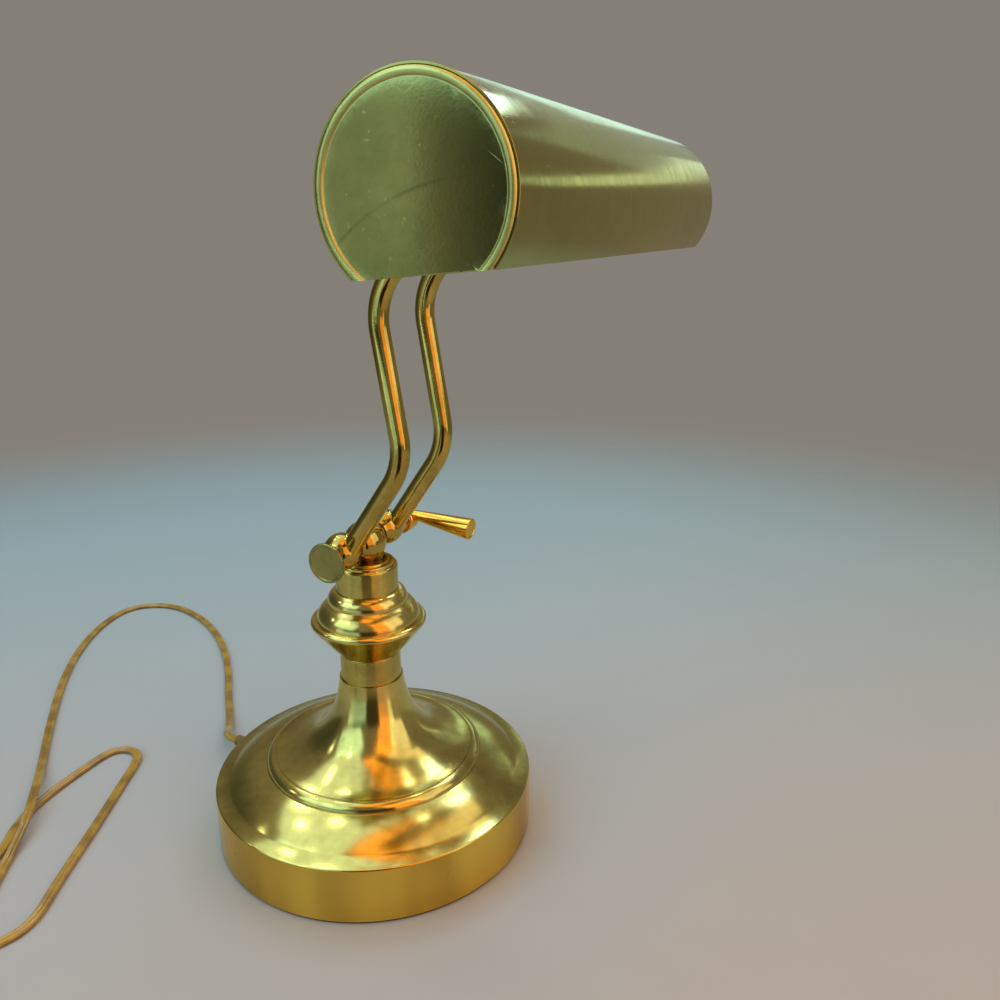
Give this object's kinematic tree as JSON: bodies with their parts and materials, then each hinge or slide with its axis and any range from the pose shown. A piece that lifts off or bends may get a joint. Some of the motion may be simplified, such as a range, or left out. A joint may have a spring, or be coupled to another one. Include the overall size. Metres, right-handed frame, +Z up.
{
  "type": "piano lamp",
  "caption": "Weighted round base and turned column carry two bent arms on a pivot with a clamping lever; a horizontal trough shade with a tubular bulb tilts on their ends.",
  "frame": {"origin": "centre of the felt's underside, on the axis of the round base", "axes": "+Z up; +X along the shade and the pivot axle, towards the clamp lever; -Y is the front, where the shade overhangs, and the cord leaves at +Y"},
  "size_m": [0.4775, 0.4842, 0.3635],
  "materials": {
    "polished_brass": "polished",
    "satin_brass": "satin, brushed and lacquered",
    "plain_brass": "as machined",
    "felt": "felt",
    "steel": "zinc plated",
    "weight_iron": "rough casting",
    "fibre": "fibre",
    "wire": "matte",
    "lead_gold": "translucent vinyl",
    "moulding": "moulded",
    "insulator": "glazed",
    "bulb_glass": "frosted",
    "bulb_metal": "bright"
  },
  "bodies": {
    "base": {"felt_pad": "felt", "base_plate": "steel", "base_shell": "polished_brass", "base_weight": "weight_iron", "lamp_pipe": "steel", "pipe_washer": "steel", "pipe_nut": "plain_brass", "base_lead": "wire", "cord_bushing": "moulding", "neck_ring": "satin_brass", "knob_bowl": "satin_brass", "knob_cap": "satin_brass", "pivot_cup": "satin_brass", "seat_ring": "polished_brass", "pivot_ball": "polished_brass", "cord": "lead_gold", "cord_coil": "lead_gold", "plug_body": "moulding", "plug_blades": "plain_brass"},
    "arms": {"arm_near": "polished_brass", "arm_far": "polished_brass", "arm_boss_near": "polished_brass", "arm_boss_far": "polished_brass", "axle": "steel", "axle_end_cap": "satin_brass", "friction_washers": "fibre", "arm_eye_near": "plain_brass", "arm_eye_far": "plain_brass", "hinge_rod": "steel", "arm_lead": "wire"},
    "clamp": {"clamp_hub": "polished_brass", "clamp_lever": "polished_brass"},
    "shade": {"shade_tube": "satin_brass", "shade_cap_near": "satin_brass", "shade_cap_far": "satin_brass", "saddle_near": "plain_brass", "saddle_far": "plain_brass", "saddle_rivets": "satin_brass", "holder_shell": "plain_brass", "holder_bush": "plain_brass", "ring_nut": "plain_brass", "holder_insulator": "insulator", "screw_shell": "plain_brass", "centre_contact": "plain_brass", "bulb_cap": "bulb_metal", "bulb_glass": "bulb_glass", "shade_lead": "wire"},
    "switch": {"switch_knob": "polished_brass"}
  },
  "joints": [
    {"name": "arm_tilt", "type": "hinge", "parent": "base", "child": "arms", "pos_m": [0, 0, 0.1639], "axis": [1, 0, 0], "range_deg": [-45, 60]},
    {"name": "clamp_turn", "type": "hinge", "parent": "arms", "child": "clamp", "pos_m": [0, 0, 0.1639], "axis": [1, 0, 0], "range_deg": [-30, 150]},
    {"name": "shade_tilt", "type": "hinge", "parent": "arms", "child": "shade", "pos_m": [0, -0.08162, 0.32104], "axis": [1, 0, 0], "range_deg": [-30, 30]},
    {"name": "switch_turn", "type": "hinge", "parent": "shade", "child": "switch", "pos_m": [0, -0.1062, 0.3295], "axis": [1, 0, 0], "continuous": true}
  ]
}
